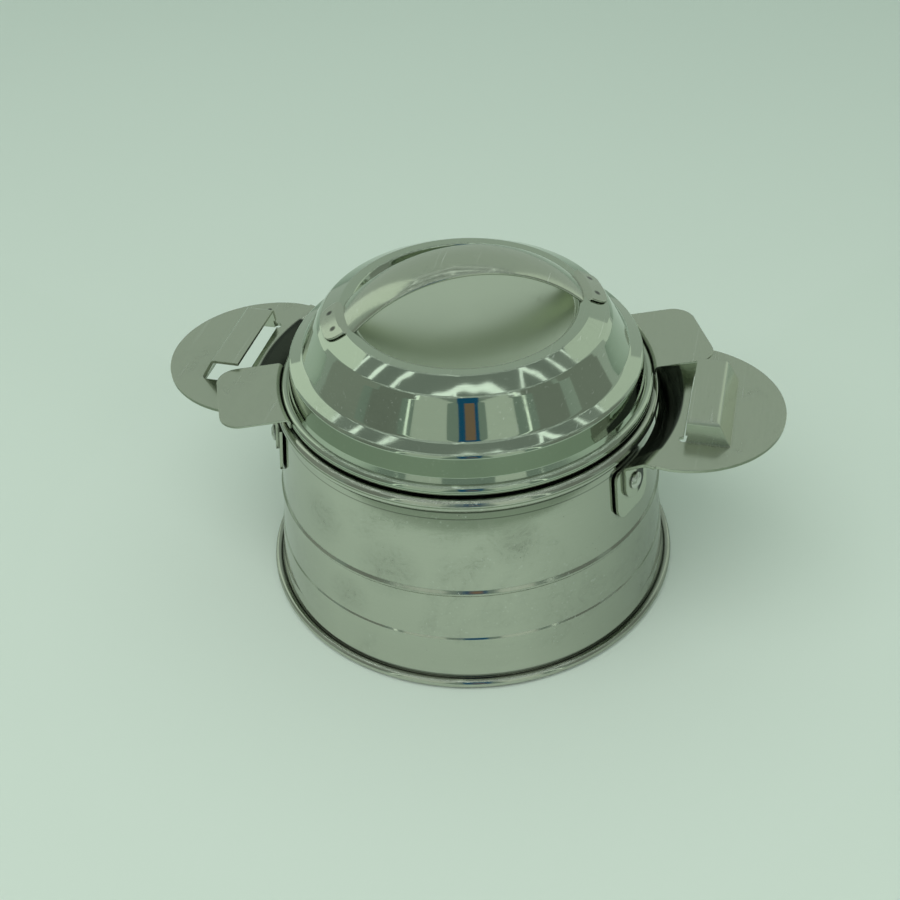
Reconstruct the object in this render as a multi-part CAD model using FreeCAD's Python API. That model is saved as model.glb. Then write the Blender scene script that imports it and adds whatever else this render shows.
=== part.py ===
import FreeCAD, Part
import math
import os

os.makedirs("parts", exist_ok=True)

# A small insulated casserole with a twist-lock, lift-off lid. Millimetres, +Z up.
# +X runs along the two fixed handle plates. The base stands on z = 0.

# Sheet thicknesses
skin = 0.8
plate = 1.2
strap_sheet = 1.0

# Clearances
touch = 0.05
fill_gap = 0.3
run_gap = 0.3
lock_gap = 0.8
stop_gap = 0.8
hole_gap = 0.05

# Base
base_bead_tube = 1.8
base_bead_out = 2.45
wall_foot_radius = 79.15
wall_foot_z = 8.5
wall_foot_flare = 1.35
wall_foot_bend = 9.0
base_flat_in = 5.0
base_slope_run = 2.2
base_step = 1.4
skirt_rise = 3.5
skirt_lean = 0.45

# Wall of the outer shell, which narrows upwards
band_z = 21.3
band_step = 0.45
band_height = 0.7
wall_lean = 0.1
wall_bead_z = 43.0
wall_bead_height = 0.9
wall_bead_half = 1.4
wall_top_z = 79.5

# Rim of the bowl
rim_tube = 2.5
rim_out = -0.65
rim_drop = 0.1

# Inner bowl
bowl_floor_z = 12.8
bowl_floor_radius = 58.0
bowl_corner = 12.0
rim_flange_width = 5.4

# Lid
lid_bead_tube = 2.1
lid_bead_in = 2.1
lid_band_in = 1.3
lid_band_foot = 4.2
lid_band_rise = 12.4
lid_band_lean = 1.1
lid_step_run = 6.3
lid_step_rise = 2.4
lid_dome_rise = 31.6
lid_dome_edge_run = 1.4
lid_dome_edge_drop = 5.4
lid_shoulder_run = 7.2
lid_shoulder_drop = 3.9
lid_ring_width = 4.1
lid_recess_radius = 41.9
lid_recess_depth = 2.6
lid_recess_slope = 1.1
pan_depth = 6.9
pan_sheet = 0.6
pan_side_gap = 1.2
pan_lean = 1.0
pan_edge_gap = 0.5

# Lid tongues, measured along the line through both of them
tongue_half_width = 18.3
tongue_sheet = 0.8
tongue_tip_gap = 2.2
tongue_corner = 8.0
tongue_leg_z_drop = 4.0
tongue_rest_gap = 0.885

# Handle plates
handle_gap = 8.98
handle_setback = 0.5
handle_radius = 38.0
handle_shoulder = 12.0
handle_shoulder_taper = 1.4
louver_drop = 8.4
louver_web = 2.4
louver_lip_gap = 0.6
louver_roof = 11.0
louver_run = 5.0
louver_end_gap = 0.7
louver_end_run = 1.8
slot_end_gap = 1.0
relief_radius = 1.5

# Lugs of the handle plates and the wall brackets they are riveted to
lug_inset = 6.43
lug_half_width = 6.0
lug_bend_in = 0.5
lug_bend_radius = 5.0
lug_lap = 3.0
lug_bend_over = 1.2
lug_bottom_z = 62.0
bracket_width = 20.0
bracket_bottom_z = 55.0
bracket_top_z = 76.0
rivet_z = 68.5
rivet_shank_radius = 1.6
rivet_head_radius = 3.3
rivet_head_height = 1.5

# Strap grip
strap_width = 21.0
strap_foot_in = 2.7
strap_rise = 19.2
strap_crown = 1.6
strap_pad_reach = 7.4
strap_pad_inner = 1.2
strap_pad_corner = 5.0
weld_radius = 1.0
weld_depth = 0.35

ORIGIN = FreeCAD.Vector(0, 0, 0)
UP = FreeCAD.Vector(0, 0, 1)


def at_xz(point):
    """A point of a profile drawn in the XZ plane."""
    return FreeCAD.Vector(point[0], 0, point[1])


def at_yz(point):
    """A point of a profile drawn in the YZ plane."""
    return FreeCAD.Vector(0, point[0], point[1])


def at_xy(point):
    """A point of an outline drawn in the XY plane."""
    return FreeCAD.Vector(point[0], point[1], 0)


def heading(a, b):
    """Unit direction from one 2D point to another."""
    dx = b[0] - a[0]
    dy = b[1] - a[1]
    length = math.hypot(dx, dy)
    return (dx / length, dy / length)


def path_edges(points, radii, place):
    """Lines through 2D points, with each inner corner rounded to its radius."""
    edges = []
    start = points[0]
    for i in range(1, len(points) - 1):
        corner = points[i]
        d1 = heading(points[i - 1], corner)
        d2 = heading(corner, points[i + 1])
        cross = d1[0] * d2[1] - d1[1] * d2[0]
        dot = d1[0] * d2[0] + d1[1] * d2[1]
        turn = abs(math.atan2(cross, dot))
        reach = radii[i - 1] * math.tan(turn / 2)
        if reach < 0.001:
            edges.append(Part.makeLine(place(start), place(corner)))
            start = corner
            continue
        a = (corner[0] - d1[0] * reach, corner[1] - d1[1] * reach)
        b = (corner[0] + d2[0] * reach, corner[1] + d2[1] * reach)
        bx = d2[0] - d1[0]
        by = d2[1] - d1[1]
        size = math.hypot(bx, by)
        sag = radii[i - 1] * (1 / math.cos(turn / 2) - 1)
        m = (corner[0] + bx / size * sag, corner[1] + by / size * sag)
        edges.append(Part.makeLine(place(start), place(a)))
        edges.append(Part.Arc(place(a), place(m), place(b)).toShape())
        start = b
    edges.append(Part.makeLine(place(start), place(points[-1])))
    return edges


def offset_path(points, radii, distance):
    """The same path moved to the left of its travel, with matching corner radii."""
    moved = []
    new_radii = []
    last = len(points) - 1
    for i in range(len(points)):
        d1 = heading(points[max(i - 1, 0)], points[max(i - 1, 0) + 1])
        d2 = heading(points[min(i, last - 1)], points[min(i, last - 1) + 1])
        n1 = (-d1[1], d1[0])
        n2 = (-d2[1], d2[0])
        scale = distance / (1 + n1[0] * n2[0] + n1[1] * n2[1])
        moved.append((points[i][0] + (n1[0] + n2[0]) * scale, points[i][1] + (n1[1] + n2[1]) * scale))
        if 0 < i < last:
            left_turn = d1[0] * d2[1] - d1[1] * d2[0] > 0
            change = -distance if left_turn else distance
            new_radii.append(max(radii[i - 1] + change, 0.1))
    return moved, new_radii


def sheet_face(points, radii, distance, place):
    """A strip of sheet: the path on one side, its offset on the other, closed at the ends."""
    near = path_edges(points, radii, place)
    moved, new_radii = offset_path(points, radii, distance)
    far = path_edges(moved, new_radii, place)
    caps = [Part.makeLine(place(points[0]), place(moved[0]))]
    caps.append(Part.makeLine(place(points[-1]), place(moved[-1])))
    return Part.Face(Part.Wire(Part.__sortEdges__(near + far + caps)))


def closed_face(points, radii, place):
    """A closed outline: the path, rounded at its inner corners, joined end to start."""
    edges = path_edges(points, radii, place)
    edges.append(Part.makeLine(place(points[-1]), place(points[0])))
    return Part.Face(Part.Wire(Part.__sortEdges__(edges)))


def with_rolled_edge(sheet, x, z, radius):
    """A sheet's section merged with the round section of the rolled edge it runs into."""
    circle = Part.makeCircle(radius, FreeCAD.Vector(x, 0, z), sheet.normalAt(0, 0))
    edge = Part.Face(Part.Wire(circle))
    return sheet.fuse(edge).removeSplitter().Faces[0]


def spin(face):
    """A full turn of an XZ profile about the vertical axis."""
    return face.revolve(ORIGIN, UP, 360)


def block(x0, x1, y0, y1, z0, z1):
    """A box between two corners."""
    return Part.makeBox(x1 - x0, y1 - y0, z1 - z0, FreeCAD.Vector(x0, y0, z0))


def turned(shape, degrees):
    """A copy turned about the vertical axis."""
    copy = shape.copy()
    copy.rotate(ORIGIN, UP, degrees)
    return copy


def one_solid(shape):
    """The shape with split faces merged, as its single solid."""
    return shape.removeSplitter().Solids[0]


# Heights and radii that follow from the values above
wall_band_radius = wall_foot_radius - (band_z - wall_foot_z) * wall_lean
wall_start_z = band_z + band_height
wall_start_radius = wall_band_radius - band_step


def wall_radius(z):
    """Outer radius of the shell above the step."""
    return wall_start_radius - (z - wall_start_z) * wall_lean


rim_centre_radius = wall_radius(wall_top_z) + rim_out
rim_centre_z = wall_top_z + rim_tube + 2 * touch
rim_top_z = rim_centre_z + rim_tube
lid_seat_z = rim_top_z + run_gap
lid_bead_z = lid_seat_z + lid_bead_tube
lid_bead_radius = rim_centre_radius - lid_bead_in
lid_bead_outer = lid_bead_radius + lid_bead_tube
lid_band_top_z = lid_bead_z + lid_band_rise
lid_top_z = lid_bead_z + lid_dome_rise
tongue_under_z = lid_bead_z + lid_bead_tube + 2 * touch
tongue_top_z = tongue_under_z + tongue_sheet
roof_under_z = tongue_top_z + lock_gap
roof_top_z = roof_under_z + plate
handle_top_z = roof_top_z - louver_drop
handle_under_z = handle_top_z - plate
handle_inner_radius = rim_centre_radius + rim_tube + handle_gap
handle_centre = handle_inner_radius - handle_setback
slot_inner = handle_inner_radius + louver_web
louver_lip = slot_inner + louver_lip_gap
louver_bend = louver_lip + louver_roof
louver_foot = louver_bend + louver_run
open_end = tongue_half_width + louver_end_gap
tongue_tip = louver_bend - tongue_tip_gap
lug_azimuth = math.degrees(math.asin((handle_radius - lug_inset) / handle_inner_radius))

# Azimuth of the tongues at rest, where they clear the louver roofs. Locked is zero.
corner_x = tongue_tip - tongue_corner
corner_radius = math.hypot(corner_x, tongue_half_width)
roof_angle = math.asin((open_end + tongue_rest_gap) / corner_radius)
lid_rest_turn = math.degrees(roof_angle + math.atan2(tongue_half_width, corner_x))

# Outer shell: flared foot, stepped lower band, raised bead and plain upper wall
base_bead_radius = wall_foot_radius + base_bead_out
base_flat_radius = wall_foot_radius - base_flat_in
foot_gap_z = 2 * base_bead_tube - 3 * touch
shell_points = [
    (wall_foot_radius + wall_foot_flare, foot_gap_z),
    (wall_foot_radius, wall_foot_z),
    (wall_band_radius, band_z),
    (wall_start_radius, wall_start_z),
    (wall_radius(wall_bead_z - wall_bead_half), wall_bead_z - wall_bead_half),
    (wall_radius(wall_bead_z) + wall_bead_height, wall_bead_z),
    (wall_radius(wall_bead_z + wall_bead_half), wall_bead_z + wall_bead_half),
    (wall_radius(wall_top_z), wall_top_z),
]
shell_radii = [wall_foot_bend, 0.4, 0.4, 0.9, 1.0, 0.9]
outer_shell = spin(sheet_face(shell_points, shell_radii, skin, at_xz))

# Base plate: flat disc, rolled bead that shows below the wall, and a skirt inside the foot
base_points = [
    (0, 0),
    (base_flat_radius, 0),
    (base_flat_radius + base_slope_run, base_step),
    (base_bead_radius, base_step),
]
base_disc = sheet_face(base_points, [1.5, 1.5], skin, at_xz)
base_disc = with_rolled_edge(base_disc, base_bead_radius, base_bead_tube, base_bead_tube)
skirt_radius = wall_foot_radius - skin - touch
skirt_points = [
    (skirt_radius, base_step + skin / 2),
    (skirt_radius, wall_foot_z - skirt_rise / 3),
    (skirt_radius - skirt_lean, wall_foot_z + skirt_rise),
]
base_skirt = spin(sheet_face(skirt_points, [2.0], skin, at_xz))
base_plate = one_solid(spin(base_disc).fuse(base_skirt))

# Inner bowl with a flat flange and a rolled rim bead that caps the shell
rim_inner_radius = rim_centre_radius - rim_flange_width
flange_z = rim_top_z - rim_drop
bowl_points = [
    (0, bowl_floor_z),
    (bowl_floor_radius, bowl_floor_z),
    (rim_inner_radius, flange_z),
    (rim_centre_radius, flange_z),
]
bowl_radii = [bowl_corner, 1.6]
bowl_sheet = sheet_face(bowl_points, bowl_radii, -skin, at_xz)
inner_bowl = spin(with_rolled_edge(bowl_sheet, rim_centre_radius, rim_centre_z, rim_tube))

# Foam between the shell and the bowl
foam_top_z = wall_top_z - 3 * fill_gap
bowl_lean = (rim_inner_radius - bowl_floor_radius) / (flange_z - bowl_floor_z)
bowl_at_foam_top = bowl_floor_radius + (foam_top_z - bowl_floor_z) * bowl_lean
foam_inside = [(0, bowl_floor_z), (bowl_floor_radius, bowl_floor_z), (bowl_at_foam_top, foam_top_z)]
foam_inside, foam_radii = offset_path(foam_inside, [bowl_corner], -(skin + fill_gap))
foam_edge = skirt_radius - skin - 3 * fill_gap
foam_floor_z = base_step + skin + fill_gap
foam_points = foam_inside + [
    (wall_radius(foam_top_z) - skin - fill_gap, foam_top_z),
    (wall_radius(wall_start_z) - skin - fill_gap, wall_start_z),
    (foam_edge, foam_floor_z),
    (0, foam_floor_z),
]
body_insulation = spin(closed_face(foam_points, foam_radii + [0.5, 0.5, 0.5, 0.5], at_xz))

# Wall brackets: flat plates that touch the wall along their middle
lean_angle = math.degrees(math.atan(wall_lean))
lean_cos = math.cos(math.radians(lean_angle))
bracket_gap = 2 * touch
bracket_mid_z = (bracket_top_z + bracket_bottom_z) / 2
bracket_half_height = (bracket_top_z - bracket_bottom_z) / 2 / lean_cos


def wall_frame(z):
    """Placement on the wall at azimuth zero: local X outwards, local Z up the wall."""
    spot = FreeCAD.Vector(wall_radius(z), 0, z)
    return FreeCAD.Placement(spot, FreeCAD.Rotation(FreeCAD.Vector(0, 1, 0), -lean_angle))


half = bracket_width / 2
bracket_outline = [
    (0, bracket_half_height),
    (-half, bracket_half_height),
    (-half, -bracket_half_height),
    (half, -bracket_half_height),
    (half, bracket_half_height),
]
bracket_face = closed_face(bracket_outline, [3.0, 5.5, 5.5], at_yz)
bracket_blank = bracket_face.extrude(FreeCAD.Vector(plate, 0, 0))
bracket_blank.translate(FreeCAD.Vector(bracket_gap, 0, 0))
bracket_blank.Placement = wall_frame(bracket_mid_z).multiply(bracket_blank.Placement)

# Rivet: a shank through bracket and lug, with a low domed head outside
lug_in = bracket_gap + plate + touch
lug_out = lug_in + plate
rivet_points = [
    (0, bracket_gap),
    (rivet_shank_radius, bracket_gap),
    (rivet_shank_radius, lug_out + touch),
    (rivet_head_radius, lug_out + touch),
    (rivet_head_radius, lug_out + touch + 0.45 * rivet_head_height),
    (rivet_shank_radius, lug_out + touch + rivet_head_height),
    (0, lug_out + touch + rivet_head_height),
]
rivet_blank = spin(closed_face(rivet_points, [0, 0, 0, 0.6, 1.6], at_xz))
rivet_blank.rotate(ORIGIN, FreeCAD.Vector(0, 1, 0), 90)
rivet_blank.Placement = wall_frame(rivet_z).multiply(rivet_blank.Placement)
hole_length = 3 * lug_out
hole_blank = Part.makeCylinder(rivet_shank_radius + hole_gap, hole_length, ORIGIN, FreeCAD.Vector(1, 0, 0))
hole_blank.Placement = wall_frame(rivet_z).multiply(hole_blank.Placement)
bracket_blank = bracket_blank.cut(hole_blank).Solids[0]

# Lug strip: the handle plate's sheet bent down over the bracket
lug_step = lug_in / lean_cos
lug_top_z = bracket_top_z + lug_bend_over
strip_points = [
    (handle_inner_radius + lug_lap, handle_top_z),
    (handle_inner_radius - lug_bend_in, handle_top_z),
    (wall_radius(lug_top_z) + lug_step, lug_top_z),
    (wall_radius(lug_bottom_z) + lug_step, lug_bottom_z),
]
strip = sheet_face(strip_points, [lug_bend_radius, 2.0], plate, at_xz)
strip.translate(FreeCAD.Vector(0, -lug_half_width, 0))
strip = strip.extrude(FreeCAD.Vector(0, 2 * lug_half_width, 0))
round_z = lug_bottom_z + lug_half_width
mask_start = wall_radius(bracket_top_z) - lug_half_width
mask_length = handle_inner_radius + 2 * lug_half_width - mask_start
mask_round = Part.makeCylinder(
    lug_half_width, mask_length, FreeCAD.Vector(mask_start, 0, round_z), FreeCAD.Vector(1, 0, 0)
)
mask_block = block(
    mask_start, mask_start + mask_length, -lug_half_width, lug_half_width, round_z, handle_top_z + plate
)
strip = strip.common(mask_round.fuse(mask_block))
strip = strip.cut(hole_blank).Solids[0]

# Apron: between its lugs the plate slopes down towards the wall and ends above the brackets
apron_out = lug_half_width ** 2 / (2 * handle_inner_radius)
apron_points = [(x + apron_out, z) for x, z in strip_points[:3]]
apron_angle = lug_azimuth - math.degrees(math.asin(0.8 * lug_half_width / handle_inner_radius))
apron = sheet_face(apron_points, [lug_bend_radius], plate, at_xz)
apron.rotate(ORIGIN, FreeCAD.Vector(0, 0, 1), -apron_angle)
apron = apron.revolve(ORIGIN, FreeCAD.Vector(0, 0, 1), 2 * apron_angle)

# Handle plate: round end, nearly parallel sides and an inner edge that follows the body
end_disc = Part.makeCylinder(handle_radius, plate, FreeCAD.Vector(handle_centre, 0, handle_under_z))
beyond = handle_centre + handle_radius + plate
reach = handle_radius + plate
end_disc = end_disc.common(block(handle_centre, beyond, -reach, reach, handle_under_z, handle_top_z))
neck_x = handle_centre - handle_shoulder
neck_half = handle_radius - handle_shoulder_taper
side_outline = [
    (handle_centre, -handle_radius),
    (handle_centre, handle_radius),
    (neck_x, neck_half),
    (neck_x, -neck_half),
]
sides = closed_face(side_outline, [0, 0], at_xy).extrude(FreeCAD.Vector(0, 0, plate))
sides.translate(FreeCAD.Vector(0, 0, handle_under_z))
inner_cut_radius = handle_inner_radius + lug_lap / 2
inner_cut = Part.makeCylinder(inner_cut_radius, 4 * plate, FreeCAD.Vector(0, 0, handle_under_z - plate))
flat_plate = end_disc.fuse(sides).cut(inner_cut)

# Louver: a pressed roof, open towards the body and at one end, closed by a wall at the other
closed_top = tongue_half_width + stop_gap + 0.75 * plate
closed_foot = closed_top + louver_end_run
roof_path = [
    (louver_lip, roof_top_z),
    (louver_bend, roof_top_z),
    (louver_foot, handle_top_z),
    (louver_foot, handle_under_z - plate),
]
end_path = [
    (open_end, roof_top_z),
    (-closed_top, roof_top_z),
    (-closed_foot, handle_top_z),
    (-closed_foot, handle_under_z - plate),
]
inner_roof, inner_roof_radii = offset_path(roof_path, [2.2, 0.1], -plate)
inner_end, inner_end_radii = offset_path(end_path, [2.0, 0.1], plate)
roof_outline = roof_path[:3] + [(louver_foot, handle_under_z), (louver_lip, handle_under_z)]
end_outline = end_path[:3] + [(-closed_foot, handle_under_z), (open_end, handle_under_z)]
outer_roof = closed_face(roof_outline, [2.2, 0, 0], at_xz).extrude(FreeCAD.Vector(0, 2 * reach, 0))
outer_roof.translate(FreeCAD.Vector(0, -reach, 0))
outer_end = closed_face(end_outline, [2.0, 0, 0], at_yz).extrude(FreeCAD.Vector(beyond, 0, 0))
outer_form = outer_roof.common(outer_end)
slot_far = open_end + slot_end_gap
inner_roof[0] = (slot_inner, roof_under_z)
inner_end[0] = (slot_far, roof_under_z)
inner_roof_outline = inner_roof + [(slot_inner, handle_under_z - plate)]
inner_end_outline = inner_end + [(slot_far, handle_under_z - plate)]
hollow_roof = closed_face(inner_roof_outline, inner_roof_radii + [0], at_xz)
hollow_roof = hollow_roof.extrude(FreeCAD.Vector(0, 2 * reach, 0))
hollow_roof.translate(FreeCAD.Vector(0, -reach, 0))
hollow_end = closed_face(inner_end_outline, inner_end_radii + [0], at_yz)
hollow_end = hollow_end.extrude(FreeCAD.Vector(beyond, 0, 0))
hollow = hollow_roof.common(hollow_end)
relief = Part.makeCylinder(
    relief_radius, 4 * plate, FreeCAD.Vector(slot_inner, -closed_foot + plate, handle_under_z - plate)
)
near_strip = turned(strip, -lug_azimuth)
far_strip = turned(strip, lug_azimuth)
handle = flat_plate.fuse([apron, outer_form]).cut(hollow).cut(relief)
right_handle = one_solid(handle.fuse([near_strip, far_strip]))
left_handle = turned(right_handle, 180)

right_near_bracket = turned(bracket_blank, -lug_azimuth)
right_far_bracket = turned(bracket_blank, lug_azimuth)
left_near_bracket = turned(bracket_blank, 180 + lug_azimuth)
left_far_bracket = turned(bracket_blank, 180 - lug_azimuth)
right_near_rivet = turned(rivet_blank, -lug_azimuth)
right_far_rivet = turned(rivet_blank, lug_azimuth)
left_near_rivet = turned(rivet_blank, 180 + lug_azimuth)
left_far_rivet = turned(rivet_blank, 180 - lug_azimuth)

# Lid dome: recessed disc, top ring, sloped shoulder, steep dome, step, upright band and bead
band_low_radius = lid_bead_radius - lid_band_in
ring_outer = lid_recess_radius + lid_ring_width
strap_foot_x = lid_recess_radius + strap_foot_in
shoulder_outer = ring_outer + lid_shoulder_run
lid_points = [
    (0, lid_top_z - lid_recess_depth),
    (lid_recess_radius - lid_recess_slope, lid_top_z - lid_recess_depth),
    (lid_recess_radius, lid_top_z),
    (ring_outer, lid_top_z),
    (shoulder_outer, lid_top_z - lid_shoulder_drop),
    (shoulder_outer + lid_dome_edge_run, lid_top_z - lid_dome_edge_drop),
    (band_low_radius - lid_step_run, lid_band_top_z + lid_step_rise),
    (band_low_radius - lid_band_lean, lid_band_top_z),
    (band_low_radius, lid_bead_z + lid_band_foot),
    (lid_bead_radius, lid_bead_z + lid_bead_tube / 2),
]
lid_radii = [0.8, 1.0, 2.0, 2.5, 1.5, 2.5, 2.0, 1.5]
lid_skin = sheet_face(lid_points, lid_radii, -skin, at_xz)
lid_dome = spin(with_rolled_edge(lid_skin, lid_bead_radius, lid_bead_z, lid_bead_tube))

# Inner pan that closes the lid from below and dips into the bowl
pan_radius = rim_inner_radius - pan_side_gap
pan_points = [
    (0, lid_seat_z - pan_depth),
    (pan_radius - pan_lean, lid_seat_z - pan_depth),
    (pan_radius, lid_seat_z),
    (lid_bead_radius - lid_bead_tube - pan_edge_gap, lid_seat_z),
]
lid_inner_pan = spin(sheet_face(pan_points, [3.0, 1.0], pan_sheet, at_xz))

# Foam inside the lid
cover, cover_radii = offset_path(lid_points[:9], lid_radii[:7], -(skin + pan_edge_gap))
fill_z = lid_seat_z + pan_sheet + fill_gap
fill_floor_z = fill_z - pan_depth
fill_edge = lid_bead_radius - lid_bead_tube - 1.4 * pan_edge_gap
fill_points = cover + [
    (fill_edge, fill_z),
    (pan_radius - pan_sheet - fill_gap, fill_z),
    (pan_radius - pan_sheet - fill_gap - 3 * pan_lean, fill_floor_z),
    (0, fill_floor_z),
]
lid_insulation = spin(closed_face(fill_points, cover_radii + [0.3, 0.3, 0.3, 1.0], at_xz))

# Lid tongues: a flat tab with a curved leg that follows the outside of the lid bead
leg_radius = lid_bead_outer + touch
tongue_points = [
    (leg_radius, tongue_top_z - tongue_leg_z_drop),
    (leg_radius, tongue_top_z),
    (1.2 * tongue_tip, tongue_top_z),
]
tongue_ring = spin(sheet_face(tongue_points, [2.0], -tongue_sheet, at_xz))
tongue_outline = [
    (leg_radius / 2, -tongue_half_width),
    (tongue_tip, -tongue_half_width),
    (tongue_tip, tongue_half_width),
    (leg_radius / 2, tongue_half_width),
]
tongue_mask = closed_face(tongue_outline, [tongue_corner, tongue_corner], at_xy)
tongue_mask = tongue_mask.extrude(FreeCAD.Vector(0, 0, 2 * tongue_top_z))
tongue = one_solid(tongue_ring.common(tongue_mask))
right_lid_tongue = turned(tongue, lid_rest_turn)
left_lid_tongue = turned(tongue, lid_rest_turn + 180)

# Strap grip: an arched band with a crowned section, ending in pads that lie on the lid
arch_radius = (strap_foot_x ** 2 + strap_rise ** 2) / (2 * strap_rise)
arch_centre_z = lid_top_z + strap_rise - arch_radius
strap_half = strap_width / 2
crown_top = arch_centre_z + arch_radius
crown_edge = crown_top - strap_crown
outer_arc = Part.Arc(
    FreeCAD.Vector(0, -strap_half, crown_edge),
    FreeCAD.Vector(0, 0, crown_top),
    FreeCAD.Vector(0, strap_half, crown_edge),
).toShape()
inner_arc = Part.Arc(
    FreeCAD.Vector(0, -strap_half, crown_edge - strap_sheet),
    FreeCAD.Vector(0, 0, crown_top - strap_sheet),
    FreeCAD.Vector(0, strap_half, crown_edge - strap_sheet),
).toShape()
side_a = Part.makeLine(
    FreeCAD.Vector(0, -strap_half, crown_edge), FreeCAD.Vector(0, -strap_half, crown_edge - strap_sheet)
)
side_b = Part.makeLine(
    FreeCAD.Vector(0, strap_half, crown_edge), FreeCAD.Vector(0, strap_half, crown_edge - strap_sheet)
)
section = Part.Face(Part.Wire(Part.__sortEdges__([outer_arc, side_b, inner_arc, side_a])))
arch_axis = FreeCAD.Vector(0, 0, arch_centre_z)
arch_angle = 1.2 * math.degrees(math.asin(strap_foot_x / arch_radius))
section.rotate(arch_axis, FreeCAD.Vector(0, 1, 0), -arch_angle)
arch = section.revolve(arch_axis, FreeCAD.Vector(0, 1, 0), 2 * arch_angle)
pad_floor_z = lid_top_z + touch
arch_box = 2 * strap_foot_x
arch = arch.common(block(-arch_box, arch_box, -arch_box, arch_box, pad_floor_z, crown_top + strap_rise))
pad_points, pad_radii = offset_path(lid_points[2:5], lid_radii[2:3], touch)
pad_run = heading(pad_points[1], pad_points[2])
pad_points[0] = (lid_recess_radius + strap_pad_inner, pad_floor_z)
pad_points[2] = (
    pad_points[1][0] + pad_run[0] * strap_pad_reach,
    pad_points[1][1] + pad_run[1] * strap_pad_reach,
)
pad_ring = spin(sheet_face(pad_points, pad_radii, strap_sheet, at_xz))
pad_corner_outline = [
    (arch_box / 4, -strap_half),
    (ring_outer + strap_pad_reach, -strap_half),
    (ring_outer + strap_pad_reach, strap_half),
    (arch_box / 4, strap_half),
]
pad_mask = closed_face(pad_corner_outline, [strap_pad_corner, strap_pad_corner], at_xy)
pad_mask = pad_mask.extrude(FreeCAD.Vector(0, 0, 2 * lid_top_z))
pad = pad_ring.common(pad_mask)
pad_middle = strap_pad_reach / 2
spot_x = pad_points[1][0] + pad_run[0] * pad_middle
spot_z = pad_points[1][1] + pad_run[1] * pad_middle
spot_normal = FreeCAD.Vector(-pad_run[1], 0, pad_run[0])
for spot_y in (-strap_half / 2, strap_half / 2):
    spot_turn = math.degrees(math.asin(spot_y / spot_x))
    spot_base = FreeCAD.Vector(spot_x, 0, spot_z) + spot_normal * (strap_sheet - weld_depth)
    spot = Part.makeCylinder(weld_radius, strap_sheet, spot_base, spot_normal)
    pad = pad.cut(turned(spot, spot_turn))
strap = one_solid(arch.fuse([pad, turned(pad, 180)]))
lid_strap_grip = turned(strap, lid_rest_turn)

outer_shell.exportStep("parts/outer_shell.step")
base_plate.exportStep("parts/base_plate.step")
body_insulation.exportStep("parts/body_insulation.step")
inner_bowl.exportStep("parts/inner_bowl.step")
right_near_bracket.exportStep("parts/right_near_bracket.step")
right_far_bracket.exportStep("parts/right_far_bracket.step")
left_near_bracket.exportStep("parts/left_near_bracket.step")
left_far_bracket.exportStep("parts/left_far_bracket.step")
right_near_rivet.exportStep("parts/right_near_rivet.step")
right_far_rivet.exportStep("parts/right_far_rivet.step")
left_near_rivet.exportStep("parts/left_near_rivet.step")
left_far_rivet.exportStep("parts/left_far_rivet.step")
right_handle.exportStep("parts/right_handle.step")
left_handle.exportStep("parts/left_handle.step")
lid_dome.exportStep("parts/lid_dome.step")
lid_inner_pan.exportStep("parts/lid_inner_pan.step")
lid_insulation.exportStep("parts/lid_insulation.step")
lid_strap_grip.exportStep("parts/lid_strap_grip.step")
right_lid_tongue.exportStep("parts/right_lid_tongue.step")
left_lid_tongue.exportStep("parts/left_lid_tongue.step")
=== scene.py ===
import math

import bmesh
import bpy
from mathutils import Matrix, Vector


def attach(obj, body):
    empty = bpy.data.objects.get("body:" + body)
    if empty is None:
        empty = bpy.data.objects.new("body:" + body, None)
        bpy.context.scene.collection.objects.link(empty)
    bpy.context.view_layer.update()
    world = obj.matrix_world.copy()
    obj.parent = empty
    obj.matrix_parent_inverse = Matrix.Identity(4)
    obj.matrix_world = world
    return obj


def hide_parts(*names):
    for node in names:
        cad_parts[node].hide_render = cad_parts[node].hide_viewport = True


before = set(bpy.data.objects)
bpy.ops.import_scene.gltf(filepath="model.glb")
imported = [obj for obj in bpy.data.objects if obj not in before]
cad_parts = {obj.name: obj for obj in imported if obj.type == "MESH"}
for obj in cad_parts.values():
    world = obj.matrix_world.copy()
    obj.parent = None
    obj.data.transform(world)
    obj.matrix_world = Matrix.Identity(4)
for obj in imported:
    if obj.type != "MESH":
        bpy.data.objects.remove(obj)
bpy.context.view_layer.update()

MM = 0.001

# Sizes shared with the solids, in millimetres
SKIN = 0.8
SEGMENTS = 320

# Camera, fitted to the photo
CAMERA_PLACE = (0.1000, -0.3757, 0.3678)
CAMERA_YAW = -16.04
CAMERA_PITCH = 39.41
CAMERA_ROLL = 2.79
CAMERA_LENS = 50.0

# Turn of the lid at rest, from the line through the handles
LID_TURN = 25.0

# Colours of the marks on the steel, and of its painted shade
SCRATCH_TINT = (0.80, 0.82, 0.78, 1)
PIT_TINT = (0.09, 0.08, 0.06, 1)
CREASE_SHADE_TINT = (0.035, 0.04, 0.035, 1)
SIDE_SHADE_TINT = (0.12, 0.15, 0.12, 1)
SHADE_LINE_TINT = (0.03, 0.035, 0.03, 1)
APRON_SHADE_TINT = (0.02, 0.025, 0.02, 1)
WELD_TINT = (0.04, 0.04, 0.035, 1)
SATIN_TINT = (0.66, 0.71, 0.59, 1)

# Grain and scale of the marks on the steel, per metre
TURNED_GRAIN = (5200, 5200, 22)
CLOUD_SCALE = 21.0
PRINT_SCALE = 130.0
SCRATCH_GRAIN = (900, 16, 900)
SCRATCH_TURN = (0.4, 0.3, 0.9)
PIT_SCALE = 420.0
PIT_PATCH_SCALE = 60.0
CREASE_PATCH_SCALE = 240.0
SIDE_SHADE_PATCH_SCALE = 14.0
SWELL_SCALE = 26.0

# Where the steel has painted shade or a satin finish, in millimetres
SATIN_RADIUS = 40.2
APRON_RADII = (70.0, 84.2)
APRON_REACH = 27.0
APRON_HEIGHTS = (60.0, 83.3)
CREASE_SHADE_REACH = 2.6
EDGE_SOFTNESS = 0.35


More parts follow.
